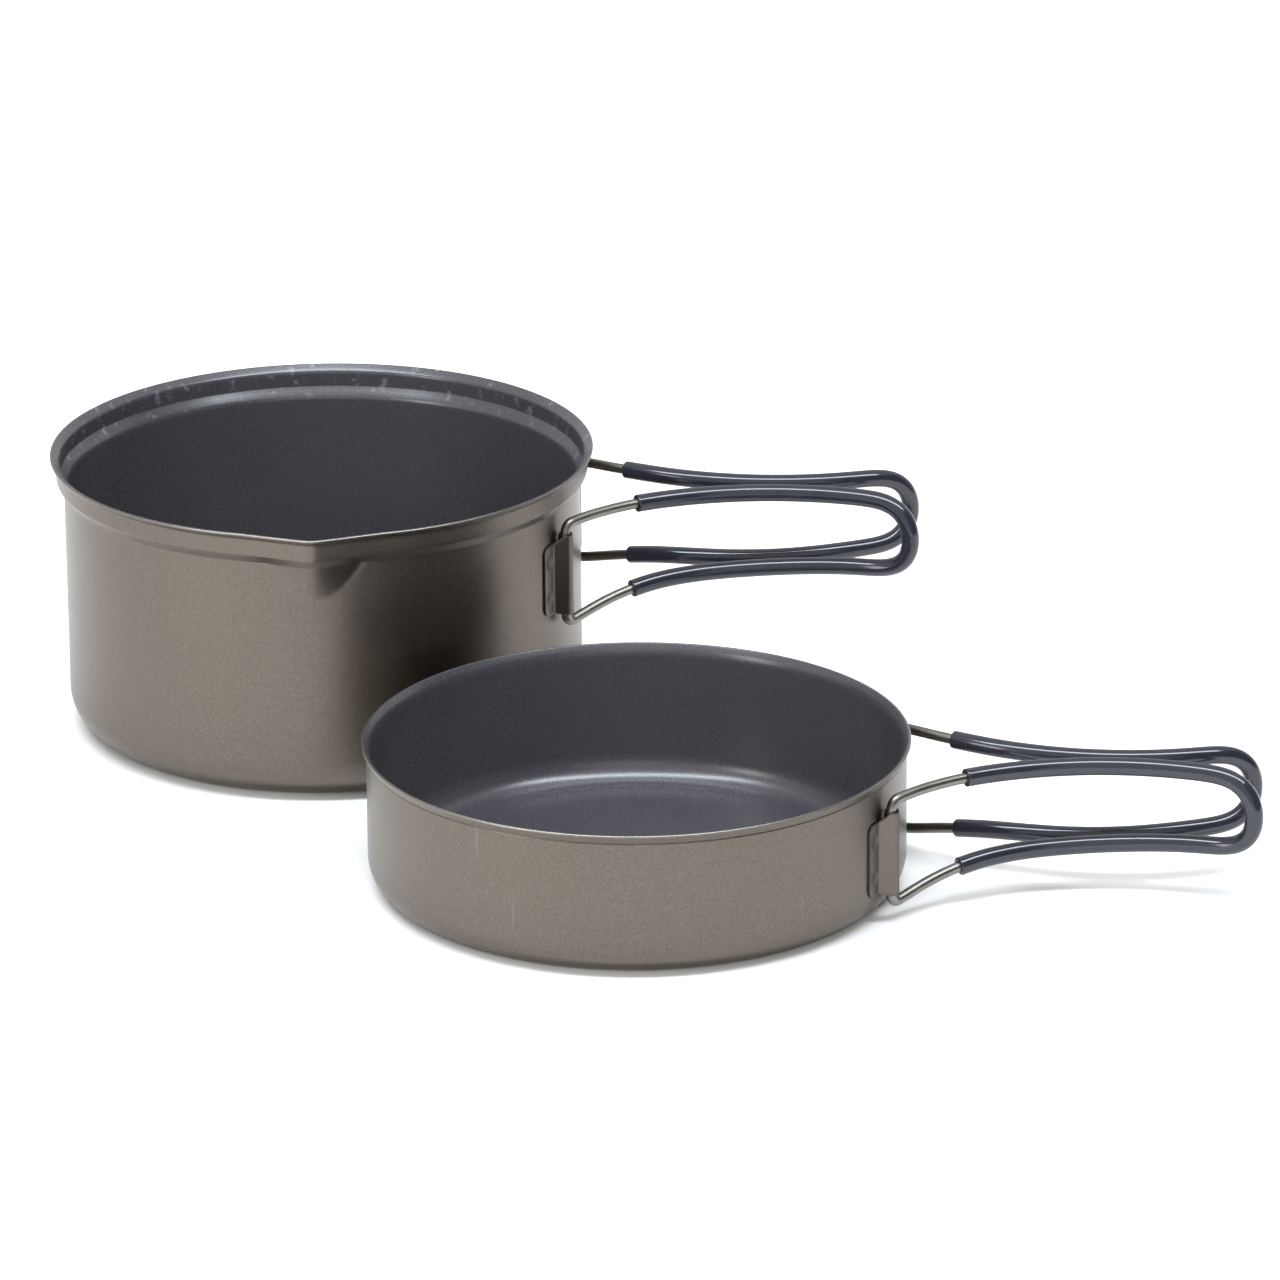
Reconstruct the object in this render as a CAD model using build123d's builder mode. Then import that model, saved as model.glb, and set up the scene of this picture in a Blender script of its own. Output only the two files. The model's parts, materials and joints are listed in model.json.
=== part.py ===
"""A nesting camping cook set: a deep pot with a pouring lip and a shallow pan that covers it upside down.

Each vessel carries two folding wire handles. A handle turns in a curled sheet bracket that is spot-welded
to the wall, and swings from straight out to flat against the wall. Millimetres, +Z up, with the origin at
the centre of the pot's base. The handles point along +X and the pouring lip along -Y.
"""

import os
from dataclasses import dataclass
from math import asin, atan2, cos, degrees, hypot, radians, sin, sqrt, tan

from build123d import *

# Sheet metal
SHEET = 0.9
COATING = 0.25
BEND_ROUND = 1.2
CUT_OVER = 3.0

# Points closer than this are the same point
TOUCH = 0.01

# Pouring lip, pinched out of the pot's rim
SPOUT_HALF_ANGLE = 18.0
SPOUT_LEAD_IN = 6.0
SPOUT_END_ANGLE = 1.5
SPOUT_TUCK = 0.4
SPOUT_DEPTH = 21.5
SPOUT_ROUND = 5.0
SPOUT_TURN = 2.0

# Handle brackets, the same on both vessels
BRACKET_SHEET = 0.6
HINGE_ANGLE = 22.0
HINGE_STAND_OFF = 2.6
WIRE_R = 1.5
HINGE_GAP = 0.1
FLANGE_FAR = 6.7
FLANGE_NEAR = 2.7
FLANGE_HEIGHT = 20.5
FLANGE_CORNER_R = 2.5
KNUCKLE_HEIGHT = 25.0
KNUCKLE_WRAP = 285.0
WELD_ANGLE = -4.75
WELD_SPACING = 11.0
WELD_DEPTH = 0.22
WELD_BALL_R = 9.0

# Handle wire and its grip sleeve
SLEEVE_R = 2.5
SLEEVE_BORE_R = 1.55
PLAN_R = 85.0
LOOP_LENGTH = 110.0
RUN = 12.0
UPPER_BEND_R = 2.9
LOWER_BEND_R = 2.3
BEND_GAP = 0.3
TIP_UPPER_R = 10.0
TIP_LOWER_R = 8.0
BUTT_GAP = 0.4
ARC_SHARE = 0.38

# How far from the hinge a grip sleeve starts on the upper and the lower wire
SLEEVE_STARTS = {"front": (25.0, 23.2), "rear": (20.5, 21.8)}


@dataclass
class Vessel:
    """One drawn cup: rim_steps are (radius, depth below the rim) up the wall from its first bend."""

    name: str
    height: float
    wall_r: float
    corner_r: float
    rim_steps: tuple
    knuckle_drop: float
    toe_in: float
    spout: bool
    plane: Plane


POT = Vessel(
    name="pot",
    height=83.6,
    wall_r=76.4,
    corner_r=12.0,
    rim_steps=((76.4, 9.7), (78.6, 6.8), (78.6, 2.2), (80.2, 0.0)),
    knuckle_drop=28.8,
    toe_in=0.0,
    spout=True,
    plane=Plane.XY,
)
PAN = Vessel(
    name="pan",
    height=42.6,
    wall_r=76.1,
    corner_r=9.0,
    rim_steps=((76.1, 2.0), (77.3, 0.0)),
    knuckle_drop=22.0,
    toe_in=1.3,
    spout=False,
    plane=Plane(Location((97.1, -131.7, 0), (0, 0, -2.0))),
)

# Height of the lower wire above its lowest bend, by distance along the handle
LOWER_RISE = (
    (6, 1.5),
    (18, 4.8),
    (30, 7.1),
    (42, 8.0),
    (54, 8.4),
    (66, 8.9),
    (78, 9.6),
    (90, 10.4),
    (LOOP_LENGTH, 11.2),
)


def wall_points(vessel, gap):
    """The wall's outline from the top of the base corner to the rim, moved gap towards the axis."""
    outline = [(vessel.wall_r, vessel.corner_r)]
    outline += [(radius, vessel.height - drop) for radius, drop in vessel.rim_steps]
    normals = []
    for (r0, z0), (r1, z1) in zip(outline, outline[1:]):
        length = hypot(r1 - r0, z1 - z0)
        normals.append((-(z1 - z0) / length, (r1 - r0) / length))
    points = []
    for i, (r, z) in enumerate(outline):
        before = normals[max(i - 1, 0)]
        after = normals[min(i, len(normals) - 1)]
        share = gap / (1 + before[0] * after[0] + before[1] * after[1])
        points.append((r + share * (before[0] + after[0]), z + share * (before[1] + after[1])))
    points[0] = (vessel.wall_r - gap, vessel.corner_r)
    return points


def raised_top(points, height):
    """The last point moved along the flare to the given height."""
    (r0, z0), (r1, z1) = points[-2:]
    return (r0 + (r1 - r0) * (height - z0) / (z1 - z0), height)


def near_points(vertices, points):
    """The vertices that lie on the given plane points, in the sketch's own X and Y."""
    return [v for v in vertices if any(hypot(v.X - x, v.Y - y) < TOUCH for x, y in points)]


def cup(vessel, gap, top):
    """The round solid inside the outline that lies gap inside the wall, up to the height top."""
    points = wall_points(vessel, gap)
    points[-1] = raised_top(points, top)
    knee = sin(radians(45)) * (vessel.corner_r - gap)
    centre_r = vessel.wall_r - vessel.corner_r
    with BuildPart() as solid:
        with BuildSketch(Plane.XZ) as half:
            with BuildLine():
                Line((0, gap), (centre_r, gap))
                ThreePointArc(
                    (centre_r, gap),
                    (centre_r + knee, vessel.corner_r - knee),
                    points[0],
                )
                Polyline(*points, (0, top), (0, gap))
            make_face()
            fillet(near_points(half.vertices(), points[1:-1]), BEND_ROUND)
        revolve(axis=Axis.Z)
    return solid.part


def spout_plan(radius, z, half_angle):
    """The spout at one height: two straight sides that leave the circle and meet in a rounded point."""
    away = radians(half_angle + SPOUT_LEAD_IN)
    side = (radius - SPOUT_TUCK) * sin(away)
    start = -(radius - SPOUT_TUCK) * cos(away)
    point = -radius / cos(radians(half_angle))
    with BuildSketch(Plane.XY.offset(z)) as plan:
        with BuildLine():
            Polyline((0, 0), (side, start), (0, point), (-side, start), close=True)
        make_face()
        fillet(plan.vertices().sort_by(Axis.Y)[0], SPOUT_ROUND)
    return plan.sketch


def spout(vessel, gap, top):
    """The pinched-out corner, as deep as the rim's steps, that runs out down the wall."""
    points = wall_points(vessel, gap)[1:]
    points[-1] = raised_top(points, top)
    sections = [spout_plan(vessel.wall_r - gap, vessel.height - SPOUT_DEPTH, SPOUT_END_ANGLE)]
    sections += [spout_plan(r, z, SPOUT_HALF_ANGLE) for r, z in points]
    with BuildPart() as solid:
        loft(sections, ruled=True)
    return solid.part.rotate(Axis.Z, SPOUT_TURN)


def filled(vessel, gap, top):
    """Everything inside the outline that lies gap inside the wall, spout included."""
    if not vessel.spout:
        return cup(vessel, gap, top)
    return cup(vessel, gap, top) + spout(vessel, gap, top)


def vessel_body(vessel):
    """The drawn cup: everything up to the rim, less everything inside the sheet."""
    outside = filled(vessel, 0, vessel.height)
    inside = filled(vessel, SHEET, vessel.height + CUT_OVER)
    with BuildPart(vessel.plane) as body:
        add(outside)
        add(inside, mode=Mode.SUBTRACT)
    return body


def vessel_lining(vessel):
    """The non-stick coating, which covers the inside up to the rim."""
    outside = filled(vessel, SHEET, vessel.height)
    inside = filled(vessel, SHEET + COATING, vessel.height + CUT_OVER)
    with BuildPart(vessel.plane) as lining:
        add(outside)
        add(inside, mode=Mode.SUBTRACT)
    return lining


def hinge_point(vessel):
    """The front hinge pin's place in plan."""
    radius = vessel.wall_r + HINGE_STAND_OFF
    angle = radians(-HINGE_ANGLE)
    return Vector(radius * cos(angle), radius * sin(angle))


def bracket_strip(vessel):
    """The bracket's section: a flange on the wall, a rise, and a curl round the hinge wire on +X."""
    wall = vessel.wall_r + BRACKET_SHEET / 2
    pin = vessel.wall_r + HINGE_STAND_OFF
    curl_r = WIRE_R + HINGE_GAP + BRACKET_SHEET / 2
    near = radians(-FLANGE_NEAR)
    foot = (wall * cos(near), wall * sin(near))
    reach = hypot(pin - foot[0], foot[1])
    rise = atan2(pin - foot[0], -foot[1]) + asin(curl_r / reach)
    rise_length = sqrt(reach**2 - curl_r**2)
    touch = (foot[0] + rise_length * sin(rise), foot[1] + rise_length * cos(rise))
    touch_angle = degrees(atan2(touch[1], touch[0] - pin))
    with BuildSketch() as strip:
        with BuildLine() as line:
            CenterArc((0, 0), wall, -FLANGE_FAR, FLANGE_FAR - FLANGE_NEAR)
            Line(foot, touch)
            CenterArc((pin, 0), curl_r, touch_angle, KNUCKLE_WRAP)
            fillet(near_points(line.vertices(), [foot]), BEND_ROUND)
        trace(line_width=BRACKET_SHEET)
    return strip.sketch


def bracket(vessel):
    """One curled bracket, made at +X with its flange towards -Y and turned to the front hinge."""
    centre = vessel.height - vessel.knuckle_drop
    far_y = -vessel.wall_r * sin(radians(FLANGE_FAR))
    near_y = -vessel.wall_r * sin(radians(FLANGE_NEAR))
    ball_r = vessel.wall_r + BRACKET_SHEET + WELD_BALL_R - WELD_DEPTH
    ball = (ball_r * cos(radians(WELD_ANGLE)), ball_r * sin(radians(WELD_ANGLE)))
    half, tall = FLANGE_HEIGHT / 2, KNUCKLE_HEIGHT / 2
    with BuildPart() as part:
        with BuildSketch(Plane.XY.offset(centre - tall)):
            add(bracket_strip(vessel))
        extrude(amount=KNUCKLE_HEIGHT)
        with BuildSketch(Plane.YZ) as side:
            with BuildLine():
                Polyline(
                    (far_y, centre - half),
                    (near_y, centre - half),
                    (-WIRE_R, centre - tall),
                    (2 * WIRE_R, centre - tall),
                    (2 * WIRE_R, centre + tall),
                    (-WIRE_R, centre + tall),
                    (near_y, centre + half),
                    (far_y, centre + half),
                    close=True,
                )
            make_face()
            fillet(side.vertices().group_by(Axis.X)[0], FLANGE_CORNER_R)
        extrude(amount=2 * vessel.wall_r, mode=Mode.INTERSECT)
        with Locations((*ball, centre - WELD_SPACING / 2), (*ball, centre + WELD_SPACING / 2)):
            Sphere(WELD_BALL_R, mode=Mode.SUBTRACT)
    return part.part.rotate(Axis.Z, -HINGE_ANGLE)


def loop_point(vessel, along, z):
    """A point of the front handle, that far along it from the hinge, in the open position."""
    pin = hinge_point(vessel)
    start = radians(OPEN_ANGLE[vessel.name])
    turned = start - along / PLAN_R
    x = pin.X + PLAN_R * (sin(start) - sin(turned))
    y = pin.Y + PLAN_R * (cos(turned) - cos(start))
    return Vector(x, y, z)


def open_angle(vessel, half_gap):
    """The handle's first direction, in degrees, that leaves half_gap from its middle to the set's plane."""
    return degrees(asin(sqrt(1 - (1 - (-hinge_point(vessel).Y - half_gap) / PLAN_R) ** 2)))


# Half the distance between the two handles' centre lines where they come closest
HALF_GAP = 4.4
OPEN_ANGLE = {v.name: open_angle(v, HALF_GAP) + v.toe_in for v in (POT, PAN)}


def loop_corners(vessel):
    """The handle's corner points, lower wire first from the butt joint out to the tip and back on top."""
    centre = vessel.height - vessel.knuckle_drop
    leg = KNUCKLE_HEIGHT / 2 + BEND_GAP + UPPER_BEND_R
    lower = [loop_point(vessel, s, centre - leg + rise) for s, rise in LOWER_RISE]
    upper = [loop_point(vessel, s, centre + leg) for s, _ in LOWER_RISE]
    pin = hinge_point(vessel)
    hinge = [Vector(pin.X, pin.Y, centre + leg), Vector(pin.X, pin.Y, centre - leg)]
    return lower, upper, hinge


def corner_radii(points, tight):
    """A radius for each inner corner: its tight one, or the largest that its runs allow."""
    radii = []
    for before, here, after in zip(points, points[1:], points[2:]):
        turn = radians((here - before).get_angle(after - here))
        run = min((here - before).length, (after - here).length)
        given = [r for point, r in tight if (point - here).length < TOUCH]
        radii.append(given[0] if given else ARC_SHARE * run / tan(turn / 2))
    return radii


def bar(points, radii, outer_r, bore_r=0.0):
    """A round bar, or a tube with a bore, along the points with their corners rounded."""
    with BuildPart() as solid:
        with BuildLine() as path:
            FilletPolyline(*points, radius=radii)
        with BuildSketch(path.line ^ 0):
            Circle(outer_r)
            if bore_r:
                Circle(bore_r, mode=Mode.SUBTRACT)
        sweep()
    return solid.part


def wire_route(vessel):
    """The wire's corner points, all round the loop from one side of its butt joint to the other."""
    lower, upper, hinge = loop_corners(vessel)
    joint = (lower[4] + lower[5]) / 2
    half_butt = (lower[5] - lower[4]).normalized() * BUTT_GAP / 2
    route = [joint + half_butt, *lower[5:], *upper[::-1], *hinge, *lower[:5], joint - half_butt]
    tight = [(lower[-1], TIP_LOWER_R), (upper[-1], TIP_UPPER_R)]
    tight += [(hinge[0], UPPER_BEND_R), (hinge[1], LOWER_BEND_R)]
    return route, corner_radii(route, tight)


def handle_wire(vessel):
    """The front handle's wire, bent into a loop that closes at a butt joint inside the sleeve."""
    route, radii = wire_route(vessel)
    return bar(route, radii, WIRE_R)


def grip_sleeve(vessel, side):
    """The grip sleeve, which follows the wire's own corners from its upper start round to its lower one."""
    lower, upper, _ = loop_corners(vessel)
    route, radii = wire_route(vessel)
    upper_start, lower_start = SLEEVE_STARTS[side]
    first = lower[1] + (lower[2] - lower[1]) * ((lower_start - LOWER_RISE[1][0]) / RUN)
    last = upper[1] + (upper[2] - upper[1]) * ((upper_start - LOWER_RISE[1][0]) / RUN)
    covered = [*lower[2:], *upper[:1:-1]]
    wire_radius = {tuple(point): r for point, r in zip(route[1:-1], radii)}
    return bar([first, *covered, last], [wire_radius[tuple(p)] for p in covered], SLEEVE_R, SLEEVE_BORE_R)


def placed(vessel, side, front_part):
    """A part made for the front handle, put on its vessel, or its mirror image for the rear handle."""
    with BuildPart(vessel.plane) as piece:
        add(front_part if side == "front" else front_part.mirror(Plane.XZ))
    return piece


def write(piece, node):
    piece.part.label = node
    export_step(piece.part, f"parts/{node}.step")
    print(f"{node}: {len(piece.part.solids())} solid, {piece.part.volume:.0f} mm3")


def write_vessel(vessel):
    """One vessel's cup and lining, and its two handles with their brackets."""
    write(vessel_body(vessel), f"{vessel.name}_body")
    write(vessel_lining(vessel), f"{vessel.name}_nonstick_lining")
    for side in SLEEVE_STARTS:
        write(placed(vessel, side, bracket(vessel)), f"{vessel.name}_{side}_bracket")
        write(placed(vessel, side, handle_wire(vessel)), f"{vessel.name}_{side}_handle_wire")
        write(placed(vessel, side, grip_sleeve(vessel, side)), f"{vessel.name}_{side}_grip_sleeve")


os.makedirs("parts", exist_ok=True)
for each in (POT, PAN):
    write_vessel(each)
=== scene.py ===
"""The looks of a camping cook set: a pot with a pouring lip, and a shallow pan that covers it.

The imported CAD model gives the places, sizes and hinges. Vessels, linings, wires, sleeves and
brackets are remade here as smooth meshes in the same places, each with a procedural material.
Lengths are in millimetres and angles in degrees, unless a line says otherwise.
"""

import json
from math import acos, asin, atan2, cos, hypot, pi, radians, sin, sqrt, tan

import bpy
import numpy as np
from mathutils import Matrix, Vector


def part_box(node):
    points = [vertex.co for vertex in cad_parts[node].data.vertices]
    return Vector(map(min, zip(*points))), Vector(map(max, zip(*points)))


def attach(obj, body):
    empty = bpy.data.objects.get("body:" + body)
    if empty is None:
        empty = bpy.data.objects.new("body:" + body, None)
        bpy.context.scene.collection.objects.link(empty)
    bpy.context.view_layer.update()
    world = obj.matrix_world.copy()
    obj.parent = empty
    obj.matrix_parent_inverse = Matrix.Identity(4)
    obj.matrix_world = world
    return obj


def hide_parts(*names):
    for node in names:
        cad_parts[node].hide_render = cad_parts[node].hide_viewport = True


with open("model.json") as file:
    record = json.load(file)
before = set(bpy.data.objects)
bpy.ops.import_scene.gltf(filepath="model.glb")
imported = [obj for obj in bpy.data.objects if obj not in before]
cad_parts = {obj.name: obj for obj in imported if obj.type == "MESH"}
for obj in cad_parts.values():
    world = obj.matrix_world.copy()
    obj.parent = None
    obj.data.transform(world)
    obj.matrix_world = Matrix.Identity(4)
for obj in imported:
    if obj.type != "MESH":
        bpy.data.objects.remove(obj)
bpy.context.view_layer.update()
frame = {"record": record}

MM = 0.001
MOUNTS = {mount["name"]: Vector(mount["pos_m"]) for mount in frame["record"]["mounts"]}

# Sheet metal: its thickness, its coating's, and the gap that keeps their faces apart
SHEET = 0.9
COATING = 0.25
COATING_TAPER = 1.5
SKIN_GAP = 0.03

# Rim: the bare edge's depth (its brightness partly a painted highlight), the height its rounding is
# fitted in, and the fine line below the pan's
EDGE_BAND = 0.4
CREST_FIT = 2.0
GROOVE_DROP = 2.7
GROOVE_DEPTH = 0.14
GROOVE_HALF_WIDTH = 0.16
GROOVE_COUNT = 17

# Each vessel: wall and base corner radius, (radius, depth below the rim) up the wall, the outer and
# inner radius of its bends, its turn and its handles' in plan, and how deep its hinges sit
VESSELS = {
    "pot": {
        "wall_r": 76.4,
        "corner_r": 12.0,
        "steps": ((76.4, 9.7), (78.6, 6.8), (78.6, 2.2), (80.2, 0.0)),
        "bend_r": (0.6, 1.4),
        "turn": 0.0,
        "toe_in": 0.0,
        "knuckle_drop": 28.8,
    },
    "pan": {
        "wall_r": 76.1,
        "corner_r": 9.0,
        "steps": ((76.1, 2.8), (77.3, 0.0)),
        "bend_r": (0.4, 7.0),
        "turn": -2.0,
        "toe_in": 1.3,
        "knuckle_drop": 22.0,
    },
}

# Mesh density: points round a vessel, and up to SPOUT_SPAN either side of the pouring lip's middle;
# then the steps round bends, up the wall, and up the wall's top
ROUND_COUNT = 288
SPOUT_COUNT = 101
SPOUT_SPAN = 22.0
BEND_STEP = 0.35
WALL_STEP = 6.0
TOP_STEP = 1.0

# Depths below the pot's rim: the collar's ledge, the band that the lining's painted highlight fades in
# over, the pocket's end
LEDGE_TOP = 6.8
LEDGE_FOOT = 9.7
HIGHLIGHT_TOP = 8.0
HIGHLIGHT_FOOT = 9.5
POCKET_FOOT = 20.5

# Pouring lip: the collar's pinch, and the pocket that runs out down the wall below it. Each stands
# out so far, is so wide and so blunt in the middle, and the pocket's edges are so soft.
SPOUT_ANGLE = -88.0
PINCH_OUT = 4.4
PINCH_HALF_WIDTH = 21.0
PINCH_BLUNT = 1.2
POCKET_OUT = 4.4
POCKET_HALF_WIDTH = 11.5
POCKET_BLUNT = 2.0
POCKET_EDGE = 0.12

# Handle wires: an arc in plan, and in height a lower leg with the wire's joint in it, a tip and an
# upper leg. The rises are (distance from the hinge, height), and the R are the bends' radii.
WIRE_R = 1.5
PLAN_R = 85.0
LOOP_LENGTH = 110.0
HALF_GAP = 4.4
KNUCKLE_HEIGHT = 25.0
UPPER_BEND_R = 2.7
LOWER_BEND_R = 2.3
LEG_ABOVE_KNUCKLE = 3.2
TIP_UPPER_R = 10.0
TIP_LOWER_R = 8.5
LEG_R = 30.0
JOINT_AT = 48.0
JOINT_R = 8.0
NEAR_RISE = ((6, 1.5), (18, 4.8), (30, 7.1), (42, 8.0))
FAR_RISE = ((54, 8.4), (66, 8.9), (78, 9.6), (90, 10.4))
UPPER_RISE = ((24, 0.8), (10, 0.25), (0, -0.6))
TIP_RISE = 11.2
JOINT_RISE = 8.2
WIRE_STEP = 0.6
STIFF_LENGTH = 7.0
EASE_LENGTH = 10.0

# Grip sleeves: where they start on the upper and lower leg, and (distance in, how much thinner)
# at their ends
SLEEVE_R = 2.6
BORE_R = 1.55
SLEEVE_STARTS = {"front": (25.0, 23.2), "rear": (20.5, 21.8)}
SLEEVE_LIP = ((0.0, 0.28), (0.06, 0.12), (0.18, 0.03), (0.35, 0.0))
SLEEVE_STEP = 0.8
BORE_RINGS = 60

# Brackets, made for a hinge on +X: the flange and the welds are at angles from it, round the wall.
# EDGE_STEPS are the first rows in from the top and bottom, in half-heights, where the sheet thins.
BRACKET_SHEET = 0.6
HINGE_STAND_OFF = 2.6
HINGE_ANGLE = 22.0
HINGE_GAP = 0.1
FLANGE_FAR = 6.7
FLANGE_NEAR = 2.7
FLANGE_HEIGHT = 21.9
FLANGE_DROP = 0.7
FLANGE_CORNER_R = 2.5
KNUCKLE_WRAP = 285.0
WELD_ANGLE = -4.75
WELD_SPACING = 11.0
WELD_R = 2.0
WELD_DEPTH = 0.22
PLAN_STEP = 0.22
FOOT_REACH = 1.6
EDGE_STEPS = (0.012, 0.03, 0.06)
EDGE_THIN = 0.35
SHARP_ANGLE = 50.0

# Camera, in the pan's own direction of view
CAMERA_TURN = 2.0
CAMERA_ELEVATION = 18.6
CAMERA_DISTANCE = 2300.0
CAMERA_ASIDE = 93.7
CAMERA_PITCH = 20.04
CAMERA_ROLL = -0.44
LENS = 218.7

# Lights, in metres
LIGHT_TARGET = (0.06, -0.07, 0.04)


# ---------------------------------------------------------------- lines

def rounded_line(points, radii, step):
    """The polyline through 2-D points, its inner corners rounded by points about one step apart."""
    out = [np.array(points[0], float)]
    for before, here, after, radius in zip(points, points[1:], points[2:], radii):
        here = np.array(here, float)
        to_before = np.array(before, float) - here
        to_after = np.array(after, float) - here
        to_before /= np.linalg.norm(to_before)
        to_after /= np.linalg.norm(to_after)
        half = acos(np.clip(np.dot(to_before, to_after), -1, 1)) / 2
        if radius == 0 or half > radians(89.9):
            out.append(here)
            continue
        middle = to_before + to_after
        centre = here + middle / np.linalg.norm(middle) * radius / sin(half)
        first = here + to_before * radius / tan(half) - centre
        last = here + to_after * radius / tan(half) - centre
        start = atan2(first[1], first[0])
        sweep = (atan2(last[1], last[0]) - start + pi) % (2 * pi) - pi
        count = max(4, int(abs(sweep) * radius / step) + 1)
        for k in range(count + 1):
            angle = start + sweep * k / count
            out.append(centre + radius * np.array([cos(angle), sin(angle)]))
    out.append(np.array(points[-1], float))
    return np.array(out)


def resampled(line, step):
    """The same line as points evenly spaced about one step apart."""
    lengths = np.r_[0, np.cumsum(np.linalg.norm(np.diff(line, axis=0), axis=1))]
    count = max(2, int(round(lengths[-1] / step)) + 1)
    at = np.linspace(0, lengths[-1], count)
    return np.column_stack([np.interp(at, lengths, line[:, k]) for k in range(line.shape[1])])


def smoothed(line, weight, times=60):
    """The line with each point moved towards its neighbours' average by its weight, many times over."""
    line = line.copy()
    for _ in range(times):
        line[1:-1] += weight[1:-1, None] * 0.5 * (line[:-2] + line[2:] - 2 * line[1:-1])
    return line


def offset_line(line, gap):
    """The 2-D line moved gap to its left."""
    along = np.gradient(line, axis=0)
    along /= np.linalg.norm(along, axis=1)[:, None]
    return line + gap * np.column_stack([-along[:, 1], along[:, 0]])


# ---------------------------------------------------------------- meshes

def mesh_piece(name, points, faces, material, smooth=True):
    """A mesh object from points in millimetres."""
    mesh = bpy.data.meshes.new(name)
    mesh.from_pydata((np.asarray(points) * MM).tolist(), [], faces)
    mesh.validate()
    mesh.update()
    if smooth:
        mesh.shade_smooth()
    mesh.materials.append(material)
    piece = bpy.data.objects.new(name, mesh)
    bpy.context.scene.collection.objects.link(piece)
    return piece


def grid_faces(rows, columns, wrap_rows=False, wrap_columns=True):
    """Quads over a grid of points stored row by row."""
    faces = []
    for i in range(rows if wrap_rows else rows - 1):
        for j in range(columns if wrap_columns else columns - 1):
            up, right = (i + 1) % rows, (j + 1) % columns
            faces.append((i * columns + j, i * columns + right, up * columns + right, up * columns + j))
    return faces


def wall_outline(vessel, height, bend_r):
    """A vessel's outside from the axis to the rim: (radius, height) points, close where it bends."""
    data = VESSELS[vessel]
    steps = [(r, height - drop) for r, drop in data["steps"]]
    points = [(0.0, 0.0), (data["wall_r"], 0.0), *steps]
    radii = [data["corner_r"]] + [bend_r] * (len(steps) - 1)
    line = rounded_line(points, radii, BEND_STEP)
    extra = []
    for a, b in zip(line, line[1:]):
        span = np.linalg.norm(b - a)
        high = b[1] > height - POCKET_FOOT - WALL_STEP
        pieces = max(1, int(span / (TOP_STEP if high else WALL_STEP)))
        extra += [a + (b - a) * k / pieces for k in range(pieces)]
    return np.array(extra + [line[-1]])


def soft_ramp(value, softness):
    """Zero below zero and the value above it, with a rounded corner between."""
    corner = softness * np.exp(-((value / softness) ** 2))
    return 0.5 * (value + np.sqrt(value**2 + softness**2) - corner)


def pinch(x, depth):
    """How far the pouring lip stands out of the wall, at sideways distance x and depth below the rim."""
    side = np.sqrt(x**2 + PINCH_BLUNT**2) - PINCH_BLUNT
    collar = PINCH_OUT * np.clip(1 - side / PINCH_HALF_WIDTH, 0, 1) ** 1.6
    down = np.clip((depth - LEDGE_TOP) / (LEDGE_FOOT - LEDGE_TOP), 0, 1)
    fade = np.clip((POCKET_FOOT - depth) / (POCKET_FOOT - LEDGE_FOOT), 0, 1)
    half_width = POCKET_HALF_WIDTH * fade**0.6 + 0.01
    blunt = np.sqrt(x**2 + POCKET_BLUNT**2) - POCKET_BLUNT
    pocket = POCKET_OUT * fade**1.1 * soft_ramp(1 - blunt / half_width, POCKET_EDGE)
    return collar * (1 - down) + pocket * down


def turned(name, vessel, line, height, material, closed=False):
    """The (radius, height) line turned about the vessel's axis, with the pot's lip pinched out."""
    centre = MOUNTS[f"{vessel}_base"] / MM
    spout = radians(SPOUT_ANGLE)
    angles = np.linspace(-pi, pi, ROUND_COUNT, endpoint=False)
    if vessel == "pot":
        plain = angles[np.abs(angles - spout) > radians(SPOUT_SPAN)]
        near = np.linspace(0.5 - SPOUT_SPAN, SPOUT_SPAN - 0.5, SPOUT_COUNT)
        angles = np.sort(np.r_[plain, spout + np.radians(near)])
    rows = []
    for r, z in line:
        if r < 1e-6 and not closed:
            r = 1e-3
        radius = np.full(len(angles), r)
        if vessel == "pot" and r > 60:
            x = r * np.sin(angles - spout)
            radius = radius + np.where(np.cos(angles - spout) > 0, pinch(x, height - z), 0)
        around = [radius * np.cos(angles), radius * np.sin(angles), np.full(len(angles), z)]
        rows.append(np.column_stack(around))
    points = np.vstack(rows) + np.array([centre.x, centre.y, 0.0])
    faces = grid_faces(len(rows), len(angles), wrap_rows=closed)
    if not closed:
        n = len(angles)
        faces.append(tuple(range(n))[::-1])
        faces.append(tuple((len(rows) - 1) * n + k for k in range(n)))
    return mesh_piece(name, points, faces, material)


def rim_arc(outside, inside, first, last):
    """Points round the rim's half-round edge, between two angles from its outer corner."""
    centre = (outside[-1] + inside[-1]) / 2
    arm = outside[-1] - centre
    start = atan2(arm[1], arm[0])
    angles = start + np.radians(np.linspace(first, last, 9))
    return centre + SHEET / 2 * np.column_stack([np.cos(angles), np.sin(angles)])


def grooved(outside, height):
    """The pan's outside with the fine line that forming the rim leaves below it."""
    groove = height - GROOVE_DROP
    reach = 3 * GROOVE_HALF_WIDTH
    near = np.abs(outside[:, 1] - groove) < reach
    wall = outside[outside[:, 1] > groove - 10]
    fine = np.linspace(groove - reach, groove + reach, GROOVE_COUNT)
    radius = np.interp(fine, wall[:, 1], wall[:, 0])
    radius -= GROOVE_DEPTH * np.exp(-(((fine - groove) / GROOVE_HALF_WIDTH) ** 2))
    below = outside[~near & (outside[:, 1] < groove)]
    above = outside[~near & (outside[:, 1] > groove)]
    return np.vstack([below, np.column_stack([radius, fine]), above])


def paint_bare_edge_and_highlight(body, height, metal):
    """The last sliver below the rim's crest takes the bright edge metal: worn bare metal, and partly a
    painted highlight.
    """
    body.data.materials.append(metal)
    for face in body.data.polygons:
        if face.center.z > (height - EDGE_BAND) * MM:
            face.material_index = 1


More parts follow.
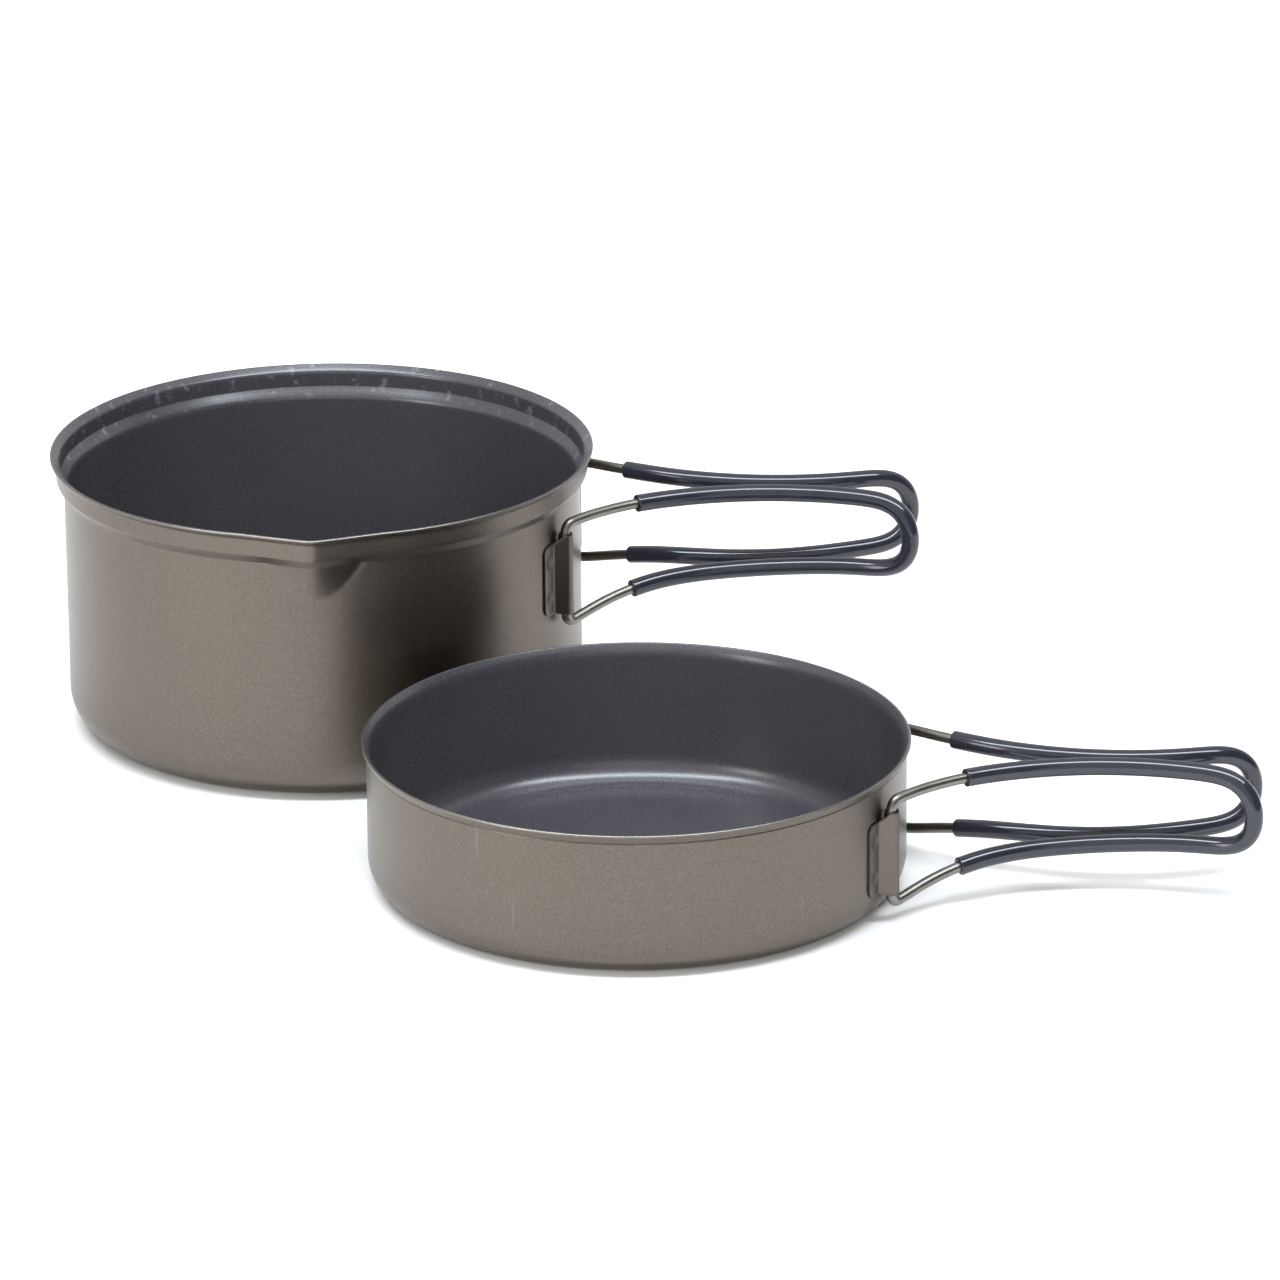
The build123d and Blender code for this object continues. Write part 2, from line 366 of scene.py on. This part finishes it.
def make_vessel(vessel, metal, edge_metal_and_highlight, lining):
    """One vessel's drawn cup with a rounded rim, and the thin coating inside it."""
    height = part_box(f"{vessel}_body")[1].z / MM
    outer_bend, inner_bend = VESSELS[vessel]["bend_r"]
    outside = wall_outline(vessel, height, outer_bend)
    if vessel == "pan":
        outside = grooved(outside, height)
    inside = offset_line(wall_outline(vessel, height, inner_bend), SHEET)
    inside[0] = (0.0, SHEET)
    crest = rim_arc(outside, inside, 0, 180)[:, 1].max() - height
    for line in (outside, inside):
        line[:, 1] -= crest * np.clip((line[:, 1] - height + CREST_FIT) / CREST_FIT, 0, 1)
    outline = np.vstack([outside, rim_arc(outside, inside, 10, 170), inside[::-1]])
    body = turned(f"{vessel}_shell", vessel, outline, height, metal)
    paint_bare_edge_and_highlight(body, height, edge_metal_and_highlight)
    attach(body, vessel)
    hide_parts(f"{vessel}_body")
    face = np.vstack([inside, rim_arc(outside, inside, 170, 125)])
    to_end = np.linalg.norm(face - face[-1], axis=1)
    back = offset_line(face, SKIN_GAP)
    thickness = COATING * np.clip(to_end / COATING_TAPER, 0, 1)
    front = offset_line(face, 2 * SKIN_GAP + thickness[:, None])
    back[0] = (0.0, SHEET + SKIN_GAP)
    front[0] = (0.0, SHEET + COATING)
    skin = turned(f"{vessel}_coating", vessel, np.vstack([back, front[::-1]]), height, lining)
    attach(skin, vessel)
    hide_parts(f"{vessel}_nonstick_lining")


def loop_outline(vessel, height):
    """A handle's loop as (distance from hinge, height), from the wire's joint out and back to it."""
    centre = height - VESSELS[vessel]["knuckle_drop"]
    leg = KNUCKLE_HEIGHT / 2 + LEG_ABOVE_KNUCKLE
    low, high = centre - leg, centre + leg
    near = [(s, low + rise) for s, rise in NEAR_RISE]
    far = [(s, low + rise) for s, rise in FAR_RISE]
    upper = [(s, high + rise) for s, rise in UPPER_RISE]
    joint = (JOINT_AT, low + JOINT_RISE)
    tip = [(LOOP_LENGTH, low + TIP_RISE), (LOOP_LENGTH, upper[0][1])]
    points = [joint, *far, *tip, *upper, (0.0, low), *near, joint]
    radii = [LEG_R] * len(far) + [TIP_LOWER_R, TIP_UPPER_R, LEG_R, LEG_R]
    radii += [UPPER_BEND_R, LOWER_BEND_R, JOINT_R] + [LEG_R] * (len(near) - 1)
    line = resampled(rounded_line(points, radii, 0.4), WIRE_STEP)
    weight = np.clip((line[:, 0] - STIFF_LENGTH) / EASE_LENGTH, 0, 0.9)
    return smoothed(line, weight)

def plan_place(vessel, side, along):
    """Plan points of a handle, that far along it from its hinge."""
    data = VESSELS[vessel]
    pin_r = data["wall_r"] + HINGE_STAND_OFF
    pin = np.array([pin_r * cos(radians(HINGE_ANGLE)), -pin_r * sin(radians(HINGE_ANGLE))])
    start = acos(1 - (-pin[1] - HALF_GAP) / PLAN_R) + radians(data["toe_in"])
    turned_by = start - along / PLAN_R
    x = pin[0] + PLAN_R * (sin(start) - np.sin(turned_by))
    y = pin[1] + PLAN_R * (np.cos(turned_by) - cos(start))
    return to_frame(vessel, side, x, y)


def to_frame(vessel, side, x, y):
    """Plan points given about the vessel's axis for the front handle, in the frame, for either one."""
    y = y if side == "front" else -y
    turn = radians(VESSELS[vessel]["turn"])
    centre = MOUNTS[f"{vessel}_base"] / MM
    return centre.x + x * cos(turn) - y * sin(turn), centre.y + x * sin(turn) + y * cos(turn)


def handle_line(vessel, side):
    """The middle of a handle's wire all round its loop."""
    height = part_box(f"{vessel}_body")[1].z / MM
    flat = loop_outline(vessel, height)
    x, y = plan_place(vessel, side, flat[:, 0])
    return np.column_stack([x, y, flat[:, 1]]), flat


def rings(line, radii, count=28):
    """Rings of points round a line, one of each radius, with no twist between neighbours.

    The first ring may start at any angle, so its direction is one that no line here sets out in.
    """
    along = np.gradient(line, axis=0)
    along /= np.linalg.norm(along, axis=1)[:, None]
    normal = np.cross(along[0], [0.3, 0.2, 0.9])
    normal /= np.linalg.norm(normal)
    out = []
    for here, tangent, radius in zip(line, along, radii):
        normal = normal - tangent * np.dot(normal, tangent)
        normal /= np.linalg.norm(normal)
        across = np.cross(tangent, normal)
        angle = np.linspace(0, 2 * pi, count, endpoint=False)[:, None]
        out.append(here + radius * (np.cos(angle) * normal + np.sin(angle) * across))
    return out


def rod(line, radius):
    """Points and faces of a round rod along a line, closed at both ends."""
    ring_list = rings(line, np.full(len(line), radius))
    points = np.vstack([line[:1], *ring_list, line[-1:]])
    count = len(ring_list[0])
    faces = [tuple(1 + k for k in face) for face in grid_faces(len(ring_list), count)]
    last = len(points) - 1
    foot = last - count
    faces += [(0, 1 + (k + 1) % count, 1 + k) for k in range(count)]
    faces += [(last, foot + k, foot + (k + 1) % count) for k in range(count)]
    return points, faces


def make_handle(vessel, side, metal, rubber):
    """One handle: the bent wire and the grip sleeve on it."""
    body = f"{vessel}_{side}_handle"
    line, flat = handle_line(vessel, side)
    wire = mesh_piece(f"{body}_bent_wire", *rod(line, WIRE_R), metal)
    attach(wire, body)
    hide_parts(f"{body}_wire")

    upper_start, lower_start = SLEEVE_STARTS[side]
    number = np.arange(len(flat))
    middle = np.argmax(flat[:, 0])
    hinge = np.argmin(flat[:, 0])
    inner = np.flatnonzero((number > middle) & (flat[:, 0] < upper_start))[0]
    tail = np.flatnonzero((number > hinge) & (flat[:, 0] > lower_start))[0]
    route = np.vstack([line[tail:], line[1:inner]])
    route = resampled(smoothed(route, np.full(len(route), 0.05)), SLEEVE_STEP)
    sleeve_rings(route, body, rubber)


def sleeve_rings(route, body, rubber):
    """The grip sleeve as a closed tube with softly rounded cut ends."""
    lengths = np.r_[0, np.cumsum(np.linalg.norm(np.diff(route, axis=0), axis=1))]
    total = lengths[-1]
    lip = [(s, SLEEVE_R - thinner) for s, thinner in SLEEVE_LIP]
    stations = lip + [(s, SLEEVE_R) for s in lengths[1:-1]]
    stations += [(total - s, r) for s, r in lip[::-1]]
    outer_count = len(stations)
    stations += [(total - s, BORE_R) for s in np.linspace(0, total, BORE_RINGS)]
    at = np.array([s for s, r in stations])
    place = np.column_stack([np.interp(at, lengths, route[:, k]) for k in range(3)])
    outside = rings(place[:outer_count], [r for _, r in stations[:outer_count]])
    bore = rings(place[outer_count:][::-1], [BORE_R] * BORE_RINGS)[::-1]
    columns = len(outside[0])
    points = np.vstack(outside + bore)
    rows = len(outside) + len(bore)
    faces = grid_faces(rows, columns)
    last = (rows - 1) * columns
    for j in range(columns):
        right = (j + 1) % columns
        faces.append((last + j, last + right, right, j))
    sleeve = mesh_piece(f"{body}_sleeve", points, faces, rubber)
    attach(sleeve, body)
    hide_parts(body.replace("_handle", "_grip_sleeve"))


def bracket_plan():
    """The sheet's middle line in plan, as flange, rise and curl round the wire, and the curl's start."""
    wall = VESSELS["pot"]["wall_r"] + BRACKET_SHEET / 2
    pin = wall - BRACKET_SHEET / 2 + HINGE_STAND_OFF
    curl_r = WIRE_R + HINGE_GAP + BRACKET_SHEET / 2
    foot = wall * np.array([cos(radians(-FLANGE_NEAR)), sin(radians(-FLANGE_NEAR))])
    reach = hypot(pin - foot[0], foot[1])
    rise = atan2(pin - foot[0], -foot[1]) + asin(curl_r / reach)
    rise_length = sqrt(reach**2 - curl_r**2)
    touch = foot + rise_length * np.array([sin(rise), cos(rise)])
    first = atan2(touch[1], touch[0] - pin)
    far = np.radians(np.linspace(-FLANGE_FAR, -FLANGE_NEAR, 20))
    turn = first + np.radians(np.linspace(0, KNUCKLE_WRAP, 60))
    flange = wall * np.column_stack([np.cos(far), np.sin(far)])
    curl = np.array([pin, 0]) + curl_r * np.column_stack([np.cos(turn), np.sin(turn)])
    line = resampled(np.vstack([flange, curl]), PLAN_STEP)
    weight = np.where(np.linalg.norm(line - foot, axis=1) < FOOT_REACH, 0.5, 0.0)
    curl_start = int(np.argmin(np.linalg.norm(line - touch, axis=1)))
    return smoothed(line, weight, 12), curl_start


def bracket_half_height(y):
    """Half the bracket's height along the sheet, and how far its middle sits below the knuckle's."""
    far_y = -VESSELS["pot"]["wall_r"] * sin(radians(FLANGE_FAR))
    near_y = -VESSELS["pot"]["wall_r"] * sin(radians(FLANGE_NEAR))
    flange, tall = FLANGE_HEIGHT / 2, KNUCKLE_HEIGHT / 2
    corner = np.clip((far_y + FLANGE_CORNER_R - y) / FLANGE_CORNER_R, 0, 0.995)
    rounded = flange - FLANGE_CORNER_R * (1 - np.sqrt(1 - corner**2))
    blend = np.clip((y - near_y) / (-WIRE_R - near_y), 0, 1)
    ease = blend * blend * (3 - 2 * blend)
    return rounded + (tall - flange) * ease, FLANGE_DROP * (1 - ease)


def make_bracket(vessel, side, metal):
    """One hinge bracket: a thin sheet with soft edges, two weld dimples, and a curled knuckle."""
    name = f"{vessel}_{side}_bracket"
    line, curl_start = bracket_plan()
    line = line + np.array([VESSELS[vessel]["wall_r"] - VESSELS["pot"]["wall_r"], 0.0])
    normal = offset_line(line, 1.0) - line
    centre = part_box(f"{vessel}_body")[1].z / MM - VESSELS[vessel]["knuckle_drop"]
    half, drop = bracket_half_height(line[:, 1])
    half[curl_start:] = KNUCKLE_HEIGHT / 2
    drop[curl_start:] = 0
    first, second, inmost = EDGE_STEPS
    middle = np.linspace(inmost - 1, 1 - inmost, 61)
    steps = np.r_[-1, first - 1, second - 1, middle, 1 - second, 1 - first, 1]
    edge = BRACKET_SHEET / 2
    outer, inner = [], []
    weld_r = VESSELS[vessel]["wall_r"] + BRACKET_SHEET
    weld = weld_r * np.array([cos(radians(WELD_ANGLE)), sin(radians(WELD_ANGLE))])
    for k in steps:
        z = centre - drop + k * half
        thin = edge * min(1.0, EDGE_THIN + (1 - abs(k)) / second * (1 - EDGE_THIN))
        skin = line - normal * thin
        for weld_z in (-WELD_SPACING / 2, WELD_SPACING / 2):
            away = np.hypot(np.linalg.norm(line - weld, axis=1), z - centre + FLANGE_DROP - weld_z)
            dent = WELD_DEPTH * np.clip(1 - (away / WELD_R) ** 2, 0, 1) ** 0.7
            skin = skin + normal * dent[:, None]
        back = line + normal * thin
        outer.append(np.column_stack([skin, z]))
        inner.append(np.column_stack([back, z]))
    rows, columns = len(steps), len(line)
    sheet = np.vstack(outer + inner[::-1])
    turn = radians(-HINGE_ANGLE)
    x = sheet[:, 0] * cos(turn) - sheet[:, 1] * sin(turn)
    y = sheet[:, 0] * sin(turn) + sheet[:, 1] * cos(turn)
    x, y = to_frame(vessel, side, x, y)
    faces = grid_faces(2 * rows, columns, wrap_rows=True, wrap_columns=False)
    for column in (0, columns - 1):
        for i in range(rows - 1):
            j = 2 * rows - 1 - i
            strip = (i * columns, (i + 1) * columns, (j - 1) * columns, j * columns)
            faces.append(tuple(v + column for v in (strip if column else strip[::-1])))
    piece = mesh_piece(f"{name}_curl", np.column_stack([x, y, sheet[:, 2]]), faces, metal)
    piece.data.set_sharp_from_angle(angle=radians(SHARP_ANGLE))
    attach(piece, vessel)
    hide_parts(name)


# ---------------------------------------------------------------- materials

def new_material(name):
    """A material with an empty shader to fill: (material, add node, link, shader)."""
    material = bpy.data.materials.new(name)
    material.use_nodes = True
    tree = material.node_tree
    shader = tree.nodes["Principled BSDF"]

    def add(kind, **values):
        node = tree.nodes.new(kind)
        for key, value in values.items():
            if key in node.inputs:
                node.inputs[key].default_value = value
            else:
                setattr(node, key, value)
        return node

    return material, add, tree.links.new, shader


def place_noise(add, link, scale, detail=3.0, stretch=(1, 1, 1)):
    """Noise fixed to the object's own place, in metres."""
    coordinates = add("ShaderNodeTexCoord")
    mapping = add("ShaderNodeMapping")
    mapping.inputs["Scale"].default_value = stretch
    link(coordinates.outputs["Object"], mapping.inputs["Vector"])
    noise = add("ShaderNodeTexNoise", Scale=scale, Detail=detail)
    link(mapping.outputs["Vector"], noise.inputs["Vector"])
    return noise


def toned(add, link, noise, dark, pale, start=0.3):
    """A colour that follows the noise from dark to pale, between start and 1 - start."""
    node = add("ShaderNodeValToRGB")
    for element, position, colour in zip(node.color_ramp.elements, (start, 1 - start), (dark, pale)):
        element.position = position
        element.color = (*colour, 1)
    link(noise.outputs["Fac"], node.inputs["Fac"])
    return node.outputs["Color"]


def ranged(add, link, source, low, high, to_low, to_high):
    """The value, spread from low and high to to_low and to_high, and held there beyond them."""
    node = add("ShaderNodeMapRange")
    node.inputs["From Min"].default_value = low
    node.inputs["From Max"].default_value = high
    node.inputs["To Min"].default_value = to_low
    node.inputs["To Max"].default_value = to_high
    link(source, node.inputs["Value"])
    return node.outputs["Result"]


def roughened(add, link, shader, noise, smooth, rough):
    """The shader's roughness, which follows the noise from smooth to rough."""
    link(ranged(add, link, noise.outputs["Fac"], 0.3, 0.7, smooth, rough), shader.inputs["Roughness"])


def bumped(add, link, shader, noise, strength, distance):
    """Bumps on the shader's surface from the noise; distance is in metres."""
    bump = add("ShaderNodeBump", Strength=strength, Distance=distance)
    link(noise.outputs["Fac"], bump.inputs["Height"])
    link(bump.outputs["Normal"], shader.inputs["Normal"])


def mixed(add, link, factor, first, second):
    """The first colour, turning into the second as the factor goes to 1."""
    node = add("ShaderNodeMix", data_type="RGBA")
    link(factor, node.inputs["Factor"])
    for socket, colour in ((node.inputs[6], first), (node.inputs[7], second)):
        if isinstance(colour, tuple):
            socket.default_value = (*colour, 1)
        else:
            link(colour, socket)
    return node.outputs[2]


def anodised_metal():
    """Hard-anodised aluminium: warm brown-grey, satin, fine-grained, with a few faint scratches."""
    material, add, link, shader = new_material("hard_anodised")
    cloud = place_noise(add, link, 22.0, 2.0)
    grain = place_noise(add, link, 1500.0, 2.0)
    fine = place_noise(add, link, 4200.0, 1.0)
    scratch = place_noise(add, link, 1.0, 0.0, stretch=(520.0, 520.0, 38.0))
    tone = toned(add, link, cloud, (0.124, 0.105, 0.086), (0.133, 0.113, 0.094))
    speck = ranged(add, link, grain.outputs["Fac"], 0.35, 0.65, 0.0, 1.0)
    colour = mixed(add, link, speck, tone, (0.150, 0.130, 0.110))
    mark = ranged(add, link, scratch.outputs["Fac"], 0.83, 0.88, 0.0, 0.22)
    link(mixed(add, link, mark, colour, (0.25, 0.225, 0.20)), shader.inputs["Base Color"])
    roughened(add, link, shader, cloud, 0.34, 0.39)
    shader.inputs["Metallic"].default_value = 1.0
    bumped(add, link, shader, fine, 0.10, 0.00006)
    return material


def nonstick_coating():
    """The lining: dark blue-grey, satin, lightly speckled, with a patchy painted highlight round the
    pot's collar.
    """
    material, add, link, shader = new_material("nonstick")
    fleck = place_noise(add, link, 1900.0, 1.0)
    cloud = place_noise(add, link, 30.0, 2.0)
    highlight_noise = place_noise(add, link, 330.0, 4.0)
    base = toned(add, link, cloud, (0.043, 0.041, 0.048), (0.048, 0.046, 0.053))
    bright = ranged(add, link, fleck.outputs["Fac"], 0.45, 0.70, 0.0, 0.25)
    speckled = mixed(add, link, bright, base, (0.083, 0.081, 0.093))
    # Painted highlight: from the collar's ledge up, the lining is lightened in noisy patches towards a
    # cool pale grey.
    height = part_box("pot_body")[1].z
    place = add("ShaderNodeTexCoord")
    axes = add("ShaderNodeSeparateXYZ")
    link(place.outputs["Object"], axes.inputs["Vector"])
    bottom, top = height - HIGHLIGHT_FOOT * MM, height - HIGHLIGHT_TOP * MM
    ledge = ranged(add, link, axes.outputs["Z"], bottom, top, 0.0, 1.0)
    highlight_patches = ranged(add, link, highlight_noise.outputs["Fac"], 0.58, 0.72, 0.0, 0.34)
    both = add("ShaderNodeMath", operation="MULTIPLY")
    link(ledge, both.inputs[0])
    link(highlight_patches, both.inputs[1])
    with_highlight = mixed(add, link, both.outputs["Value"], speckled, (0.30, 0.31, 0.34))
    link(with_highlight, shader.inputs["Base Color"])
    roughened(add, link, shader, fleck, 0.24, 0.30)
    shader.inputs["Specular IOR Level"].default_value = 0.7
    bumped(add, link, shader, fleck, 0.10, 0.00006)
    return material


def drawn_wire():
    """Stainless wire: pale warm grey, satin."""
    material, add, link, shader = new_material("drawn_wire")
    grain = place_noise(add, link, 140.0, 2.0)
    tone = toned(add, link, grain, (0.215, 0.203, 0.180), (0.25, 0.238, 0.215), start=0.35)
    link(tone, shader.inputs["Base Color"])
    roughened(add, link, shader, grain, 0.34, 0.42)
    shader.inputs["Metallic"].default_value = 1.0
    return material


def bare_edge_and_highlight():
    """The rim's trimmed edge: pale bare aluminium, brighter than the anodised wall, the brightness
    partly a painted highlight.
    """
    material, add, link, shader = new_material("bare_edge_and_highlight")
    grain = place_noise(add, link, 160.0, 2.0)
    # Worn bare metal, lightened further as a painted highlight along the rim's top.
    tone = toned(add, link, grain, (0.26, 0.243, 0.215), (0.30, 0.283, 0.252), start=0.35)
    link(tone, shader.inputs["Base Color"])
    roughened(add, link, shader, grain, 0.33, 0.38)
    shader.inputs["Metallic"].default_value = 1.0
    return material


def bracket_metal():
    """Bracket sheet: like the walls, with a finer grain."""
    material, add, link, shader = new_material("bracket_sheet")
    grain = place_noise(add, link, 1500.0, 2.0)
    tone = toned(add, link, grain, (0.128, 0.112, 0.095), (0.142, 0.125, 0.107), start=0.35)
    link(tone, shader.inputs["Base Color"])
    roughened(add, link, shader, grain, 0.36, 0.44)
    shader.inputs["Metallic"].default_value = 1.0
    bumped(add, link, shader, grain, 0.1, 0.00005)
    return material


def sleeve_rubber():
    """Grip sleeve: dark slate grey, semi-gloss, with a faint moulded unevenness."""
    material, add, link, shader = new_material("grip_sleeve")
    wave = place_noise(add, link, 260.0, 2.0)
    grain = place_noise(add, link, 3000.0, 1.0)
    tone = toned(add, link, wave, (0.017, 0.018, 0.026), (0.021, 0.022, 0.031))
    link(tone, shader.inputs["Base Color"])
    roughened(add, link, shader, grain, 0.10, 0.15)
    shader.inputs["Specular IOR Level"].default_value = 0.6
    bumped(add, link, shader, wave, 0.05, 0.0002)
    return material


def floor_paint():
    """Matt, nearly white paint."""
    material, add, link, shader = new_material("floor")
    cloud = place_noise(add, link, 1.5, 2.0)
    tone = toned(add, link, cloud, (0.86, 0.86, 0.86), (0.88, 0.88, 0.88))
    link(tone, shader.inputs["Base Color"])
    shader.inputs["Roughness"].default_value = 0.9
    return material


# ---------------------------------------------------------------- stage

def rectangle(half_w, half_h):
    """The four corners of a level rectangle about the origin."""
    return [(-half_w, -half_h, 0), (half_w, -half_h, 0), (half_w, half_h, 0), (-half_w, half_h, 0)]


def make_floor(material):
    """A plain floor, 24 m square."""
    corners = rectangle(12000.0, 12000.0)
    floor = mesh_piece("floor", corners, [(0, 1, 2, 3)], material, smooth=False)


def add_softbox(name, place, target, size, power, colour, mirrored=True):
    """A rectangular area light, in metres and watts, that points at the target."""
    data = bpy.data.lights.new(name, "AREA")
    data.shape = "RECTANGLE"
    data.size, data.size_y = size
    data.energy = power
    data.color = colour
    light = bpy.data.objects.new(name, data)
    light.location = place
    light.rotation_euler = (Vector(target) - Vector(place)).to_track_quat("-Z", "Y").to_euler()
    light.visible_glossy = mirrored
    bpy.context.scene.collection.objects.link(light)


def add_card(name, place, target, size, material):
    """A dark flag, in metres, that reflections and light see and the camera doesn't."""
    mesh = bpy.data.meshes.new(name)
    mesh.from_pydata(rectangle(size[0] / 2, size[1] / 2), [], [(0, 1, 2, 3)])
    mesh.materials.append(material)
    card = bpy.data.objects.new(name, mesh)
    card.location = place
    card.rotation_euler = (Vector(target) - Vector(place)).to_track_quat("-Z", "Y").to_euler()
    card.visible_camera = False
    bpy.context.scene.collection.objects.link(card)


def card_paint():
    """Matt, nearly black paint."""
    material, add, link, shader = new_material("dark_card")
    cloud = place_noise(add, link, 2.0, 2.0)
    tone = toned(add, link, cloud, (0.012, 0.012, 0.012), (0.018, 0.018, 0.018))
    link(tone, shader.inputs["Base Color"])
    shader.inputs["Roughness"].default_value = 1.0
    shader.inputs["Specular IOR Level"].default_value = 0.0
    return material


def add_lights():
    """Soft studio light: an even white world, four boxes, and a dark flag on the right."""
    world = bpy.data.worlds.new("studio")
    world.use_nodes = True
    background = world.node_tree.nodes["Background"]
    background.inputs["Color"].default_value = (1.0, 1.0, 1.0, 1)
    background.inputs["Strength"].default_value = 0.70
    bpy.context.scene.world = world
    cool, warm, neutral = (0.86, 0.93, 1.0), (1.0, 0.98, 0.95), (1.0, 0.99, 0.97)
    top, front, left = (0.08, -0.45, 1.6), (0.45, -2.6, 1.2), (-1.1, -1.1, 0.5)
    rear, rear_target = (0.1, 1.2, 1.7), (0.1, 0.9, 0.0)
    add_softbox("top_box", top, LIGHT_TARGET, (2.2, 0.36), 40.0, cool)
    add_softbox("front_box", front, LIGHT_TARGET, (1.2, 0.8), 30.0, warm, mirrored=False)
    add_softbox("rear_box", rear, rear_target, (2.4, 1.2), 26.0, neutral, mirrored=False)
    add_softbox("left_box", left, LIGHT_TARGET, (0.4, 0.9), 6.0, warm)
    add_card("right_card", (0.97, -0.38, 0.4), (0, 0, 0.05), (1.6, 1.1), card_paint())


def add_camera():
    """A long lens that looks along the pan's own +Y, from a little above."""
    turn = Matrix.Rotation(radians(CAMERA_TURN), 4, "Z")
    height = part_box("pot_body")[1].z / MM
    back = CAMERA_DISTANCE * cos(radians(CAMERA_ELEVATION))
    up = height + CAMERA_DISTANCE * sin(radians(CAMERA_ELEVATION))
    data = bpy.data.cameras.new("camera")
    data.lens = LENS
    data.sensor_width = 36.0
    data.clip_end = 100.0
    camera = bpy.data.objects.new("camera", data)
    place = Matrix.Translation(Vector((CAMERA_ASIDE, -back, up)) * MM)
    tilt = Matrix.Rotation(radians(90 - CAMERA_PITCH), 4, "X")
    roll = Matrix.Rotation(radians(CAMERA_ROLL), 4, "Z")
    camera.matrix_world = turn @ place @ tilt @ roll
    bpy.context.scene.collection.objects.link(camera)
    bpy.context.scene.camera = camera


# ---------------------------------------------------------------- build

add_camera()
add_lights()
make_floor(floor_paint())
anodised = anodised_metal()
edge_metal_and_highlight = bare_edge_and_highlight()
lining = nonstick_coating()
wire_metal = drawn_wire()
sheet_metal = bracket_metal()
rubber = sleeve_rubber()
for vessel in VESSELS:
    make_vessel(vessel, anodised, edge_metal_and_highlight, lining)
    for side in SLEEVE_STARTS:
        make_handle(vessel, side, wire_metal, rubber)
        make_bracket(vessel, side, sheet_metal)
bpy.context.scene.view_settings.view_transform = "Standard"
